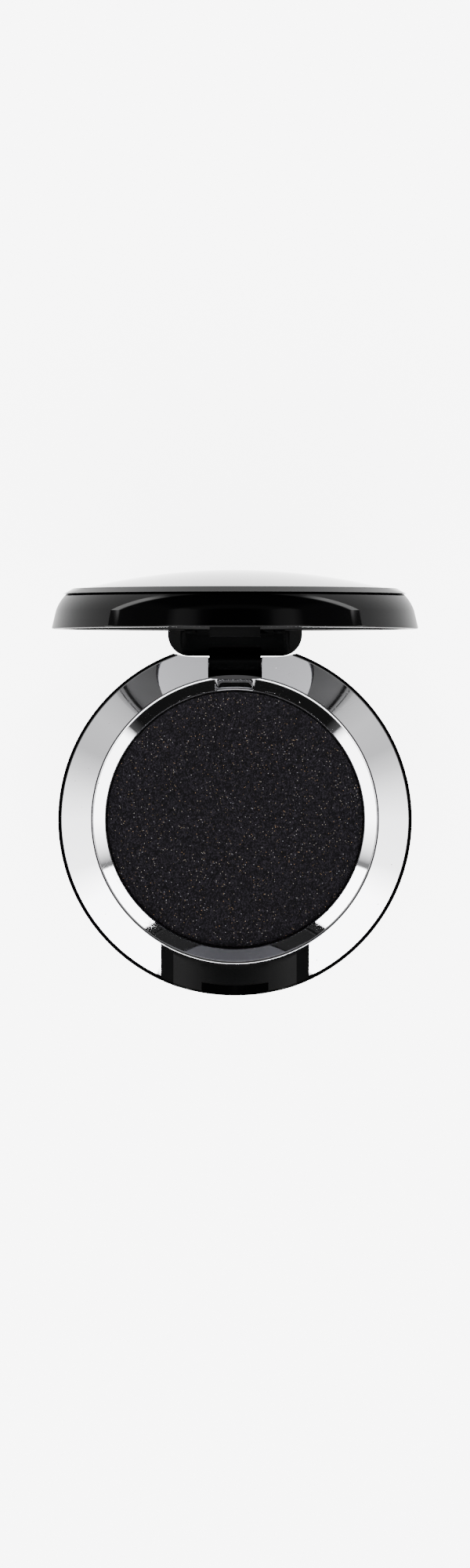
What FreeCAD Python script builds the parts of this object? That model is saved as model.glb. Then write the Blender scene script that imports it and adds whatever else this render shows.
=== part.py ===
import FreeCAD, Part
import math
import os
import re
import Sketcher
from FreeCAD import Placement, Rotation, Vector

# A round single-shade eyeshadow compact, lid open at a right angle.
# Frame: origin on the table under the middle of the base, +Z up, +Y towards the hinge, millimetres.
# The lid's pieces are drawn closed over the base and then turned back about the hinge pin.

# Driving dimensions: name, value in mm (slopes are ratios), meaning.
SIZES = [
    ("base_radius", 20.0, "outside of the base at its rim"),
    ("base_height", 8.0, "table to the top of the black rim"),
    ("base_draft", 0.0625, "how far the base side leans in, per mm down"),
    ("base_shoulder", 2.5, "rounding round the bottom of the base"),
    ("base_wall", 1.2, "thickness of the base shell's side"),
    ("base_floor", 1.2, "thickness of the base shell's floor"),
    ("rim_lip", 0.25, "width of the black lip outside the bright ring"),
    ("rim_step", 1.0, "depth of the lip above the ledge that the ring sits on"),
    ("seat_gap", 0.03, "play between pieces that are bonded into each other"),
    ("floor_round", 1.6, "rounding inside the bottom of the base shell"),
    ("rim_round", 0.08, "rounding of the base rim"),
    ("label_inset", 8.5, "outside of the base in to the edge of the blank label"),
    ("label_margin", 0.3, "recess beyond the edge of the label"),
    ("label_thick", 0.12, "thickness of the label, which lies flush in its recess"),
    ("frame_drop", 1.5, "base rim down to the top of the inner frame"),
    ("frame_wall", 1.0, "walls of the inner frame"),
    ("border", 5.0, "outside of the base in to the outside of the metal pan"),
    ("pan_depth", 3.6, "height of the metal pan"),
    ("pan_wall", 0.4, "wall and floor of the pan"),
    ("pan_gap", 0.1, "play round the pan"),
    ("pan_round", 0.6, "rounding round the bottom of the pan"),
    ("glue_inset", 5.0, "outside of the pan in to the edge of the adhesive pad"),
    ("glue_thick", 0.15, "thickness of the adhesive pad"),
    ("cake_gap", 0.15, "gap between the pressed powder and the pan wall"),
    ("cake_drop", 0.3, "pan rim down to the top of the powder"),
    ("cake_round", 0.25, "rounding round the top of the powder"),
    ("pan_cover", 0.35, "how far the bright ring's lip covers the pan"),
    ("bevel_width", 1.45, "opening of the bright ring out to its crest"),
    ("crest_rise", 1.1, "crest above the base rim"),
    ("crest_round", 0.12, "rounding of the crest"),
    ("lip_thick", 0.32, "ring's lip over the pan rim"),
    ("bevel_drop", 1.38, "crest down to the top of the ring's lip"),
    ("edge_drop", 0.25, "base rim down to the ring's outer edge"),
    ("ring_back", 0.2, "crest to the back of the ring's inner bevel"),
    ("ring_wall", 0.9, "thickness of the ring's outer slope"),
    ("ring_foot", 0.65, "width of the ring's locating foot"),
    ("notch_half", 8.36, "half width of the thumb notch in the ring"),
    ("scoop_radius", 18.0, "radius of the thumb scoop"),
    ("scoop_drop", 1.4, "base rim down to the bottom of the thumb scoop"),
    ("catch_wall", 0.25, "wall that the catch ledge stands on"),
    ("catch_reach", 0.3, "how far the catch ledge stands out"),
    ("catch_half", 3.0, "half width of the catch ledge"),
    ("catch_wall_rise", 0.3, "base rim up to the top of that wall"),
    ("catch_rise", 0.05, "base rim up to the top of the catch ledge"),
    ("catch_thick", 0.3, "thickness of the catch ledge"),
    ("release_wide", 2.37, "pan release notch, half width at the pan"),
    ("release_narrow", 1.6, "pan release notch, half width at the crest"),
    ("release_inset", 0.65, "crest in to the back of the pan release notch"),
    ("pivot_inset", 2.6, "outside of the base in to the hinge axis"),
    ("pivot_height", 4.3, "hinge axis above the table"),
    ("barrel_radius", 1.4, "hinge barrel"),
    ("pin_radius", 0.6, "hinge pin"),
    ("pin_end", 0.32, "outside of the inner frame in to the end of the pin"),
    ("pin_play", 0.05, "running clearance between pin and barrel"),
    ("slot_half", 3.05, "half width of the hinge slot"),
    ("slot_gap", 0.16, "front of the hinge slot to the barrel"),
    ("slot_under", 1.0, "bottom of the hinge slot to the barrel"),
    ("step_drop", 1.6, "crest down to the step in front of the hinge slot"),
    ("slot_play", 0.12, "play each side of the barrel"),
    ("recess_gap", 0.95, "hinge axis back to the flat at the back of the base"),
    ("recess_sweep", 0.21, "how far the flat's ends sweep back, per mm outwards"),
    ("ears_cover", 1.8, "block that holds the pin, beyond each end of the pin"),
    ("tab_half", 7.6, "half width of the lid's hinge tab"),
    ("tab_gap", 0.15, "gap between the open lid's hinge tab and the flat"),
    ("tab_corner", 2.4, "rounded lower corners of the hinge tab"),
    ("tab_play", 0.1, "gap between the closed lid's hinge tab and the flat"),
    ("tab_root", 0.35, "how far the tab runs up into the lid frame"),
    ("tab_inset", 0.1, "lid rim in to the outside of the hinge tab"),
    ("lid_gap", 0.25, "base rim to lid rim when closed"),
    ("lid_overhang", 0.6, "outside of the base out to the outside of the lid"),
    ("dome_gap", 0.14, "lid frame's back to the inside of the dome, at its edge"),
    ("lid_draft", 0.238, "how far the lid side leans in, per mm up"),
    ("lid_dome", 70.0, "radius of the domed top"),
    ("lid_shoulder", 3.0, "rounding between the side and the dome"),
    ("lid_edge", 0.2, "rounding of the lid's rim"),
    ("lid_wall", 1.1, "thickness of the lid shell"),
    ("seat_depth", 1.45, "lid rim up to the first step of the lid frame"),
    ("step_depth", 2.35, "lid rim up to the second step of the lid frame"),
    ("step_width", 1.0, "width of each step of the lid frame"),
    ("seam_drop", 0.1, "lid rim up to the lid frame's rim"),
    ("liner_lip", 0.75, "width of the lid frame's rim"),
    ("liner_rise", 0.95, "lid rim up to the outer edge of the sloping liner"),
    ("liner_inset", 0.92, "outside of the lid frame in to that edge"),
    ("liner_depth", 1.9, "lid rim up to the inner edge of the sloping liner"),
    ("panel_level", 1.25, "lid rim up to the face of the panel"),
    ("panel_radius", 13.3, "gloss panel inside the lid"),
    ("panel_thick", 1.0, "that panel"),
    ("panel_gap", 0.1, "play round the panel"),
    ("panel_edge", 0.12, "bevelled edge of the panel"),
    ("tape_inset", 1.3, "edge of the panel in to the edge of the tape behind it"),
    ("tape_thick", 0.25, "thickness of the tape"),
    ("web_thick", 0.6, "lid frame behind the panel"),
    ("tongue_play", 0.2, "gap between the catch ledge and the lid's catch"),
    ("tongue_thick", 0.7, "lid's catch tongue, front to back"),
    ("tongue_half", 2.8, "half width of the lid's catch tongue"),
    ("tongue_drop", 1.05, "lid rim down to the end of the catch tongue"),
    ("barb_step", 0.15, "how far the barb stands out from the tongue"),
    ("barb_height", 0.4, "height of the barb"),
]

# Heights and radii that more than one piece shares, written with the sheet's own names.
SHELL_FOOT = "(base_radius - base_draft * base_height)"
SHELL_IN = "(base_radius - base_wall)"
RING_LEDGE = "(base_height - rim_step)"
FRAME_OUT = f"({SHELL_IN} - seat_gap)"
FRAME_TOP = "(base_height - frame_drop)"
PAN_R = "(base_radius - border)"
POCKET = f"({PAN_R} + pan_gap)"
OPENING_R = f"({PAN_R} - pan_cover)"
CREST_R = f"({OPENING_R} + bevel_width)"
RING_OUT = "(base_radius - rim_lip - seat_gap)"
RING_BACK = f"({CREST_R} + ring_back)"
RING_EDGE = "(base_height - edge_drop)"
CREST = "(base_height + crest_rise)"
RING_LIP = f"({CREST} - bevel_drop)"
PAN_TOP = f"({RING_LIP} - lip_thick - seat_gap)"
PAN_FOOT = f"({PAN_TOP} - pan_depth)"
POCKET_FLOOR = f"({PAN_FOOT} - glue_thick)"
SLOPE = f"(({CREST} - {RING_EDGE}) / ({RING_OUT} - {CREST_R}))"
PIVOT_BACK = "(base_radius - pivot_inset)"
PIN_HALF = f"(sqrt({FRAME_OUT}^2 - ({PIVOT_BACK} + pin_radius)^2) - pin_end)"
SLOT_FRONT = f"({PIVOT_BACK} - barrel_radius - slot_gap)"
SLOT_FLOOR = "(pivot_height - barrel_radius - slot_under)"
RECESS_BACK = f"({PIVOT_BACK} + recess_gap)"
TAB_FOOT = "(pivot_height + recess_gap + tab_gap)"
LABEL_R = "(base_radius - label_inset)"
SCOOP_FLOOR = "(base_height - scoop_drop)"
CATCH_TOP = "(base_height + catch_rise)"
RIM = "(base_height + lid_gap)"
LID_R = "(base_radius + lid_overhang)"
TAB_CORNER = f"min(tab_corner; {RIM} - {TAB_FOOT})"
RECESS_HALF = f"(tab_half - {TAB_CORNER})"
SHELL_SLOT_FLOOR = f"min({SLOT_FLOOR}; base_floor + floor_round / 5)"
PANEL_FACE = f"({RIM} + panel_level)"
PANEL_BACK = f"({PANEL_FACE} + panel_thick)"
WEB = f"({PANEL_BACK} + tape_thick)"
PANEL_SEAT = "(panel_radius + panel_gap)"
LINER_OUT = f"({LID_R} - lid_wall - seat_gap)"
LID_CORE = f"({LID_R} - lid_wall - 2 * step_width)"
DOME_IN = "(lid_dome - lid_wall)"
DOME_SAG = f"({DOME_IN} - sqrt({DOME_IN}^2 - {LID_CORE}^2))"
LID_HEIGHT = f"({WEB} + web_thick - {RIM} + dome_gap + {DOME_SAG} + lid_wall)"
BARREL_HALF = "(slot_half - slot_play)"
CATCH_WALL_IN = f"({RING_BACK} + seat_gap)"
CATCH_WALL_OUT = f"({CATCH_WALL_IN} + catch_wall)"
CATCH_LEDGE_OUT = f"({CATCH_WALL_OUT} + catch_reach)"
FAR = f"(base_radius + {LID_R})"

doc = FreeCAD.newDocument("compact")
sheet = doc.addObject("Spreadsheet::Sheet", "Sizes")
for row, (alias, value, meaning) in enumerate(SIZES, start=1):
    sheet.set(f"A{row}", alias)
    sheet.set(f"B{row}", str(value))
    sheet.setAlias(f"B{row}", alias)
    sheet.set(f"C{row}", meaning)
doc.recompute()


def size(alias):
    return float(sheet.get(alias))


def bind(item, path, text):
    """Ties a property to a formula, with each size's name pointing at the sheet."""
    item.setExpression(path, re.sub(r"\b(?!asin|sqrt|min)[a-z]\w*", r"Sizes.\g<0>", text))


def new_body(label):
    body = doc.addObject("PartDesign::Body", label)
    body.Label = label
    return body


def new_sketch(body, name, role, level):
    sketch = body.newObject("Sketcher::SketchObject", name)
    plane = next(item for item in body.Origin.OriginFeatures if item.Role == role)
    sketch.AttachmentSupport = (plane, "")
    sketch.MapMode = "FlatFace"
    sketch.Visibility = False
    if level:
        bind(sketch, "AttachmentOffset.Base.z", level)
    return sketch


def place_point(sketch, line, end, across, up):
    for kind, text in (("DistanceX", across), ("DistanceY", up)):
        index = sketch.addConstraint(Sketcher.Constraint(kind, -1, 1, line, end, 1.0))
        bind(sketch, f"Constraints[{index}]", text)


def outline(body, name, role, points, level=None):
    """A closed polygon. Both coordinates of each corner are bound to the sheet."""
    sketch = new_sketch(body, name, role, level)
    count = len(points)
    turns = [2 * math.pi * i / count for i in range(count)]
    start = [Vector(math.cos(turn), math.sin(turn), 0) for turn in turns]
    for i in range(count):
        sketch.addGeometry(Part.LineSegment(start[i], start[(i + 1) % count]), False)
    for i in range(count):
        sketch.addConstraint(Sketcher.Constraint("Coincident", i, 2, (i + 1) % count, 1))
    for i, (across, up) in enumerate(points):
        place_point(sketch, i, 1, across, up)
    return sketch


def disc(body, name, role, across, up, radius, level=None):
    sketch = new_sketch(body, name, role, level)
    sketch.addGeometry(Part.Circle(Vector(1, 1, 0), Vector(0, 0, 1), 1), False)
    place_point(sketch, 0, 3, across, up)
    index = sketch.addConstraint(Sketcher.Constraint("Radius", 0, 1.0))
    bind(sketch, f"Constraints[{index}]", radius)
    return sketch


def both_sides(points):
    """Right-hand points, then the same points mirrored in reverse order."""
    return points + [("-" + across, up) for across, up in reversed(points)]


def box_points(across_1, up_1, across_2, up_2):
    return [(across_1, up_1), (across_2, up_1), (across_2, up_2), (across_1, up_2)]


def turn(body, name, points, cut=False, role="XZ_Plane", angle="360"):
    """Turns a profile (radius, height) about the vertical axis, evenly each side of its plane."""
    kind = "PartDesign::Groove" if cut else "PartDesign::Revolution"
    profile = outline(body, name + "_profile", role, points)
    feature = body.newObject(kind, name)
    feature.Profile = profile
    feature.ReferenceAxis = (profile, ["V_Axis"])
    feature.Midplane = True
    bind(feature, "Angle", angle)
    return feature


def pad(body, sketch, length, middle=False):
    feature = body.newObject("PartDesign::Pad", sketch.Name + "_pad")
    feature.Profile = sketch
    feature.SideType = "Symmetric" if middle else "One side"
    bind(feature, "Length", length)
    return feature


def pocket(body, sketch, length, middle=False, reverse=False):
    """Cuts a sketch's shape away and stops the build if nothing is cut."""
    doc.recompute()
    before = body.Shape.Volume
    feature = body.newObject("PartDesign::Pocket", sketch.Name + "_cut")
    feature.Profile = sketch
    feature.SideType = "Symmetric" if middle else "One side"
    feature.Reversed = reverse
    bind(feature, "Length", length)
    doc.recompute()
    if body.Shape.Volume > before - 1e-6:
        raise RuntimeError(f"{feature.Name} cuts nothing")
    return feature


def round_ring(body, base, radius, height, rounding):
    """Rounds the circular edges at a height about the vertical axis, all or those of one radius."""
    doc.recompute()
    names = []
    for number, edge in enumerate(base.Shape.Edges, start=1):
        if not isinstance(edge.Curve, Part.Circle):
            continue
        right_size = radius is None or abs(edge.Curve.Radius - radius) < 1e-4
        if right_size and abs(edge.Curve.Center.z - height) < 1e-4:
            names.append(f"Edge{number}")
    feature = body.newObject("PartDesign::Fillet", base.Name + "_round")
    feature.Base = (base, names)
    bind(feature, "Radius", rounding)
    return feature


def recess_outline(gap):
    """Behind the flat at the back of the base: the flat's middle, then its swept ends."""
    front = f"({RECESS_BACK} + {gap})"
    swept = f"({front} + ({FAR} - {RECESS_HALF}) * recess_sweep)"
    return both_sides([(RECESS_HALF, front), (FAR, swept), (FAR, FAR)])


def cut_hinge_recess(body):
    pocket(body, outline(body, "hinge_recess", "XY_Plane", recess_outline("0")), FAR, middle=True)


def cut_hinge_slot(body, front=SLOT_FRONT, floor=SLOT_FLOOR, name="hinge_slot"):
    slot = both_sides([("slot_half", front), ("slot_half", FAR)])
    return pocket(body, outline(body, name, "XY_Plane", slot, floor), FAR, reverse=True)


def cut_thumb_scoop(body):
    """A lying cylinder over the front rim, for the thumb that lifts the lid."""
    scoop = disc(body, "scoop", "XZ_Plane", "0", f"({SCOOP_FLOOR} + scoop_radius)", "scoop_radius")
    pocket(body, scoop, FAR, reverse=True)


# Base: black shell, black inner frame, bright ring, pan, powder, pin and label --------------


def base_shell():
    body = new_body("base_shell")
    recess = f"({LABEL_R} + label_margin)"
    wall = turn(body, "shell_wall", [
        ("0", "label_thick"),
        (recess, "label_thick"),
        (recess, "0"),
        (SHELL_FOOT, "0"),
        ("base_radius", "base_height"),
        ("(base_radius - rim_lip)", "base_height"),
        ("(base_radius - rim_lip)", RING_LEDGE),
        (SHELL_IN, RING_LEDGE),
        (SHELL_IN, "base_floor"),
        ("0", "base_floor"),
    ])
    foot = size("base_radius") - size("base_draft") * size("base_height")
    wall = round_ring(body, wall, foot, 0, "base_shoulder")
    inside = size("base_radius") - size("base_wall")
    wall = round_ring(body, wall, inside, size("base_floor"), "floor_round")
    round_ring(body, wall, size("base_radius"), size("base_height"), "rim_round")
    cut_hinge_recess(body)
    cut_hinge_slot(body, floor=SHELL_SLOT_FLOOR)
    cut_thumb_scoop(body)
    return body


def inner_frame():
    body = new_body("inner_frame")
    under_top = f"({FRAME_TOP} - frame_wall)"
    pocket_wall = f"({POCKET} + frame_wall)"
    skirt = f"({SHELL_IN} - frame_wall)"
    skirt_foot = "(base_floor + floor_round)"
    turn(body, "pan_pocket", [
        ("0", f"({POCKET_FLOOR} - frame_wall)"),
        (POCKET, f"({POCKET_FLOOR} - frame_wall)"),
        (POCKET, "base_floor"),
        (pocket_wall, "base_floor"),
        (pocket_wall, under_top),
        (skirt, under_top),
        (skirt, skirt_foot),
        (FRAME_OUT, skirt_foot),
        (FRAME_OUT, FRAME_TOP),
        (POCKET, FRAME_TOP),
        (POCKET, POCKET_FLOOR),
        ("0", POCKET_FLOOR),
    ])
    ears_half = f"({PIN_HALF} + ears_cover)"
    ears = box_points(f"-{ears_half}", f"({POCKET} + frame_wall / 2)", ears_half, "base_radius")
    pad(body, outline(body, "ears", "XY_Plane", ears, "base_floor"), f"({FRAME_TOP} - base_floor)")
    corner = f"({FRAME_OUT} - floor_round)"
    turn(body, "ears_trim", [
        (FRAME_OUT, FRAME_TOP),
        (FRAME_OUT, skirt_foot),
        (corner, "base_floor"),
        (corner, "0"),
        (FAR, "0"),
        (FAR, FRAME_TOP),
    ], cut=True)
    add_front_block(body)
    cut_hinge_recess(body)
    cut_hinge_slot(body)
    bore = disc(body, "pin_bore", "YZ_Plane", PIVOT_BACK, "pivot_height", "pin_radius")
    pocket(body, bore, f"2 * {PIN_HALF}", middle=True)
    return body


def add_front_block(body):
    """Fills the thumb notch: a scooped pad, a low curved wall and the catch ledge on it."""
    side = "(notch_half - seat_gap)"
    block = box_points(f"-{side}", "-base_radius", side, f"-{CREST_R} / 2")
    pad(body, outline(body, "thumb_pad", "XY_Plane", block, FRAME_TOP), "frame_drop")
    turn(body, "thumb_pad_inside", box_points("0", FRAME_TOP, CATCH_WALL_IN, FAR), cut=True)
    turn(body, "thumb_pad_outside", [
        (FRAME_OUT, FRAME_TOP),
        (FRAME_OUT, RING_LEDGE),
        (RING_OUT, RING_LEDGE),
        (RING_OUT, FAR),
        (FAR, FAR),
        (FAR, FRAME_TOP),
    ], cut=True)
    cut_thumb_scoop(body)
    wall_top = "(base_height + catch_wall_rise)"
    wall = box_points(f"-{CATCH_WALL_OUT}", FRAME_TOP, f"-{CATCH_WALL_IN}", wall_top)
    wall_angle = f"2 * asin({side} / {CATCH_WALL_OUT})"
    turn(body, "catch_wall", wall, role="YZ_Plane", angle=wall_angle)
    under = f"({CATCH_TOP} - catch_thick)"
    ledge = box_points(f"-{CATCH_LEDGE_OUT}", under, f"-{CATCH_WALL_IN}", CATCH_TOP)
    ledge_angle = f"2 * asin(catch_half / {CATCH_LEDGE_OUT})"
    turn(body, "catch_ledge", ledge, role="YZ_Plane", angle=ledge_angle)


def bright_ring():
    body = new_body("bright_ring")
    back_height = f"({CREST} - ring_back * {SLOPE})"
    turn(body, "outer_slope", [
        (RING_BACK, back_height),
        (RING_OUT, RING_EDGE),
        (RING_OUT, RING_LEDGE),
        (FRAME_OUT, RING_LEDGE),
        (FRAME_OUT, FRAME_TOP),
        (f"({FRAME_OUT} - ring_foot)", FRAME_TOP),
        (f"({FRAME_OUT} - ring_foot)", RING_LEDGE),
        (RING_BACK, f"({back_height} - ring_wall)"),
    ])
    notch = box_points("-notch_half", f"-{FAR}", "notch_half", f"-{CREST_R} / 2")
    pocket(body, outline(body, "thumb_notch", "XY_Plane", notch), FAR, middle=True)
    turn(body, "inner_bevel", [
        (OPENING_R, RING_LIP),
        (CREST_R, CREST),
        (RING_BACK, back_height),
        (RING_BACK, FRAME_TOP),
        (POCKET, FRAME_TOP),
        (POCKET, f"({RING_LIP} - lip_thick)"),
        (OPENING_R, f"({RING_LIP} - lip_thick)"),
    ])
    release_back = f"({CREST_R} - release_inset)"
    release = both_sides([("release_wide", f"{CREST_R} / 2"), ("release_narrow", release_back)])
    pocket(body, outline(body, "release_notch", "XY_Plane", release), FAR, middle=True)
    cut_hinge_recess(body)
    cut_hinge_slot(body, front=RING_BACK)
    ring = cut_hinge_slot(body, floor=f"({CREST} - step_drop)", name="slot_step")
    crest = size("base_height") + size("crest_rise")
    round_ring(body, ring, None, crest, "crest_round")
    return body


def metal_pan():
    body = new_body("metal_pan")
    inside = f"({PAN_R} - pan_wall)"
    pan = turn(body, "pan_wall_and_floor", [
        ("0", PAN_FOOT),
        (PAN_R, PAN_FOOT),
        (PAN_R, PAN_TOP),
        (inside, PAN_TOP),
        (inside, f"({PAN_FOOT} + pan_wall)"),
        ("0", f"({PAN_FOOT} + pan_wall)"),
    ])
    doc.recompute()
    round_ring(body, pan, None, pan.Shape.BoundBox.ZMin, "pan_round")
    return body


def pressed_powder():
    body = new_body("pressed_powder")
    across = f"({PAN_R} - pan_wall - cake_gap)"
    level = f"({PAN_FOOT} + pan_wall)"
    cake = disc(body, "cake", "XY_Plane", "0", "0", across, level)
    cake = pad(body, cake, "pan_depth - pan_wall - cake_drop")
    doc.recompute()
    round_ring(body, cake, None, cake.Shape.BoundBox.ZMax, "cake_round")
    return body


def flat_disc(label, radius, level, thick):
    body = new_body(label)
    pad(body, disc(body, label + "_outline", "XY_Plane", "0", "0", radius, level), thick)
    return body


def hinge_pin():
    body = new_body("hinge_pin")
    pin = disc(body, "pin", "YZ_Plane", PIVOT_BACK, "pivot_height", "pin_radius")
    pad(body, pin, f"2 * {PIN_HALF}", middle=True)
    return body


# Lid, drawn closed: black shell, black frame with the hinge arm and catch, panel and tape ---


def solid(kind, name, formulas):
    item = doc.addObject(kind, name)
    for path, text in formulas.items():
        bind(item, path, text)
    return item


def joined(kind, name, base, tool):
    item = doc.addObject(kind, name)
    item.Base = base
    item.Tool = tool
    return item


def upright(name, radius, height):
    """A cylinder that stands on the lid's rim plane."""
    return solid("Part::Cylinder", name, {"Radius": radius, "Height": height, "Placement.Base.z": RIM})


def ball(name, inset):
    """The sphere that the lid's dome is part of, or one inset by the wall."""
    centre = f"({RIM} + {LID_HEIGHT} - lid_dome)"
    return solid("Part::Sphere", name, {"Radius": f"lid_dome - {inset}", "Placement.Base.z": centre})


def lid_shell():
    side = solid("Part::Cone", "lid_side", {
        "Radius1": LID_R,
        "Radius2": f"{LID_R} - 2 * {LID_HEIGHT} * lid_draft",
        "Height": f"2 * {LID_HEIGHT}",
        "Placement.Base.z": RIM,
    })
    block = joined("Part::Common", "lid_block", side, ball("lid_ball", "0"))
    doc.recompute()
    rim_height = block.Shape.BoundBox.ZMin
    rounded = doc.addObject("Part::Fillet", "lid_rounded")
    rounded.Base = block
    roundings = []
    for number, edge in enumerate(block.Shape.Edges, start=1):
        if not edge.Degenerated and isinstance(edge.Curve, Part.Circle):
            at_rim = abs(edge.Curve.Center.z - rim_height) < 1e-4
            radius = size("lid_edge") if at_rim else size("lid_shoulder")
            roundings.append((number, radius, radius))
    rounded.Edges = roundings
    seat = upright("lid_seat", f"{LID_R} - lid_wall", "seat_depth")
    step = upright("lid_step", f"{LID_CORE} + step_width", "step_depth")
    core = upright("lid_core", LID_CORE, LID_HEIGHT)
    hollow = joined("Part::Common", "lid_hollow", core, ball("lid_inner_ball", "lid_wall"))
    steps = joined("Part::Fuse", "lid_steps", seat, step)
    cavity = joined("Part::Fuse", "lid_cavity", steps, hollow)
    shell = joined("Part::Cut", "lid_shell", rounded, cavity)
    shell.Label = "lid_shell"
    return shell


def lid_frame():
    body = new_body("lid_frame")
    add_hinge_tab(body)
    second = f"({LINER_OUT} - step_width)"
    third = f"({LINER_OUT} - 2 * step_width)"
    seam = f"({RIM} + seam_drop)"
    turn(body, "liner", [
        ("0", WEB),
        (PANEL_SEAT, WEB),
        (PANEL_SEAT, f"({RIM} + liner_depth)"),
        (f"({LINER_OUT} - liner_inset)", f"({RIM} + liner_rise)"),
        (f"({LINER_OUT} - liner_lip)", seam),
        (LINER_OUT, seam),
        (LINER_OUT, f"({RIM} + seat_depth)"),
        (second, f"({RIM} + seat_depth)"),
        (second, f"({RIM} + step_depth)"),
        (third, f"({RIM} + step_depth)"),
        (third, f"({WEB} + web_thick)"),
        ("0", f"({WEB} + web_thick)"),
    ])
    add_hinge_arm(body)
    add_catch_tongue(body)
    return body


def add_hinge_tab(body):
    """The tab that hangs from the back of the lid and fills the flat in the base."""
    block = box_points("-tab_half", PIVOT_BACK, "tab_half", LID_R)
    tab = pad(body, outline(body, "tab", "XY_Plane", block, TAB_FOOT), f"{RIM} - {TAB_FOOT} + tab_root")
    doc.recompute()
    low = tab.Shape.BoundBox.ZMin
    corners = []
    for number, edge in enumerate(tab.Shape.Edges, start=1):
        ends = [vertex.Point for vertex in edge.Vertexes]
        level = all(abs(end.z - low) < 1e-4 for end in ends)
        if level and abs(ends[0].x - ends[1].x) < 1e-4:
            corners.append(f"Edge{number}")
    rounded = body.newObject("PartDesign::Fillet", "tab_corners")
    rounded.Base = (tab, corners)
    bind(rounded, "Radius", TAB_CORNER)
    front = f"({RECESS_BACK} + tab_play)"
    swept = f"({front} + ({FAR} - {RECESS_HALF}) * recess_sweep)"
    before_tab = both_sides([(RECESS_HALF, front), (FAR, swept), (FAR, "0")])
    pocket(body, outline(body, "before_tab", "XY_Plane", before_tab), FAR, middle=True)
    back = f"({LID_R} - tab_inset)"
    turn(body, "behind_tab", [
        (back, "0"),
        (back, RIM),
        (LINER_OUT, RIM),
        (LINER_OUT, FAR),
        (FAR, FAR),
        (FAR, "0"),
    ], cut=True)


def add_hinge_arm(body):
    """The short arm from the tab forward and down to the barrel that turns on the pin."""
    wide = f"(2 * {BARREL_HALF})"
    arm = outline(body, "arm", "YZ_Plane", [
        (PIVOT_BACK, "pivot_height"),
        (f"({PIVOT_BACK} + barrel_radius)", "pivot_height"),
        (f"({RECESS_BACK} + barrel_radius)", f"({TAB_FOOT} + {TAB_CORNER} / 2)"),
        (f"({RECESS_BACK} + tab_play * 2)", f"(({RIM} + {TAB_FOOT}) / 2)"),
        (PIVOT_BACK, "(pivot_height + barrel_radius)"),
    ])
    pad(body, arm, wide, middle=True)
    barrel = disc(body, "barrel", "YZ_Plane", PIVOT_BACK, "pivot_height", "barrel_radius")
    pad(body, barrel, wide, middle=True)
    bore = disc(body, "barrel_bore", "YZ_Plane", PIVOT_BACK, "pivot_height", "(pin_radius + pin_play)")
    pocket(body, bore, f"2 * {PIN_HALF}", middle=True)


def add_catch_tongue(body):
    """The lid's catch: a short tongue with a barb that closes under the ledge of the base."""
    barb_in = f"({CATCH_LEDGE_OUT} + tongue_play)"
    tongue_in = f"({barb_in} + barb_step)"
    tongue_out = f"({tongue_in} + tongue_thick)"
    foot = f"({RIM} - tongue_drop)"
    tongue = box_points("-tongue_half", f"-{tongue_out}", "tongue_half", f"-{tongue_in}")
    sketch = outline(body, "tongue", "XY_Plane", tongue, foot)
    pad(body, sketch, "tongue_drop + panel_level")
    barb = box_points("-tongue_half", f"-{tongue_out}", "tongue_half", f"-{barb_in}")
    pad(body, outline(body, "barb", "XY_Plane", barb, foot), "barb_height")


def panel():
    body = new_body("panel")
    plate = pad(body, disc(body, "plate", "XY_Plane", "0", "0", "panel_radius", PANEL_FACE), "panel_thick")
    doc.recompute()
    edges = [f"Edge{i}" for i, e in enumerate(plate.Shape.Edges, start=1) if isinstance(e.Curve, Part.Circle)]
    bevel = body.newObject("PartDesign::Chamfer", "panel_bevel")
    bevel.Base = (plate, edges)
    bind(bevel, "Size", "panel_edge")
    return body


def open_lid(item):
    """Turns a piece of the lid back about the hinge pin by a right angle."""
    item.Placement = Placement(Vector(0, 0, 0), Rotation(Vector(1, 0, 0), -90))
    bind(item, "Placement.Base.y", f"{PIVOT_BACK} - pivot_height")
    bind(item, "Placement.Base.z", f"{PIVOT_BACK} + pivot_height")


base_pieces = [
    base_shell(),
    inner_frame(),
    bright_ring(),
    metal_pan(),
    pressed_powder(),
    flat_disc("pan_adhesive", f"({PAN_R} - glue_inset)", POCKET_FLOOR, "glue_thick"),
    hinge_pin(),
    flat_disc("base_label", LABEL_R, "0", "label_thick"),
]
lid_pieces = [
    lid_shell(),
    lid_frame(),
    panel(),
    flat_disc("panel_tape", "(panel_radius - tape_inset)", PANEL_BACK, "tape_thick"),
]
for piece in lid_pieces:
    open_lid(piece)
doc.recompute()

for item in doc.Objects:
    if "Invalid" in item.State or "Error" in item.State:
        raise RuntimeError(f"{item.Label} failed: {item.State}")
for piece in base_pieces + lid_pieces:
    shape = piece.Shape
    if shape.isNull() or not shape.isValid() or len(shape.Solids) != 1:
        raise RuntimeError(f"{piece.Label} is not one sound solid")

os.makedirs("parts", exist_ok=True)
for piece in base_pieces + lid_pieces:
    piece.Shape.exportStep(f"parts/{piece.Label}.step")
    box = piece.Shape.BoundBox
    print(f"{piece.Label}: {piece.Shape.Volume:.2f} mm3, Y {box.YMin:.2f}..{box.YMax:.2f}, "
          f"Z {box.ZMin:.2f}..{box.ZMax:.2f}")
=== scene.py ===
import math

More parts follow.
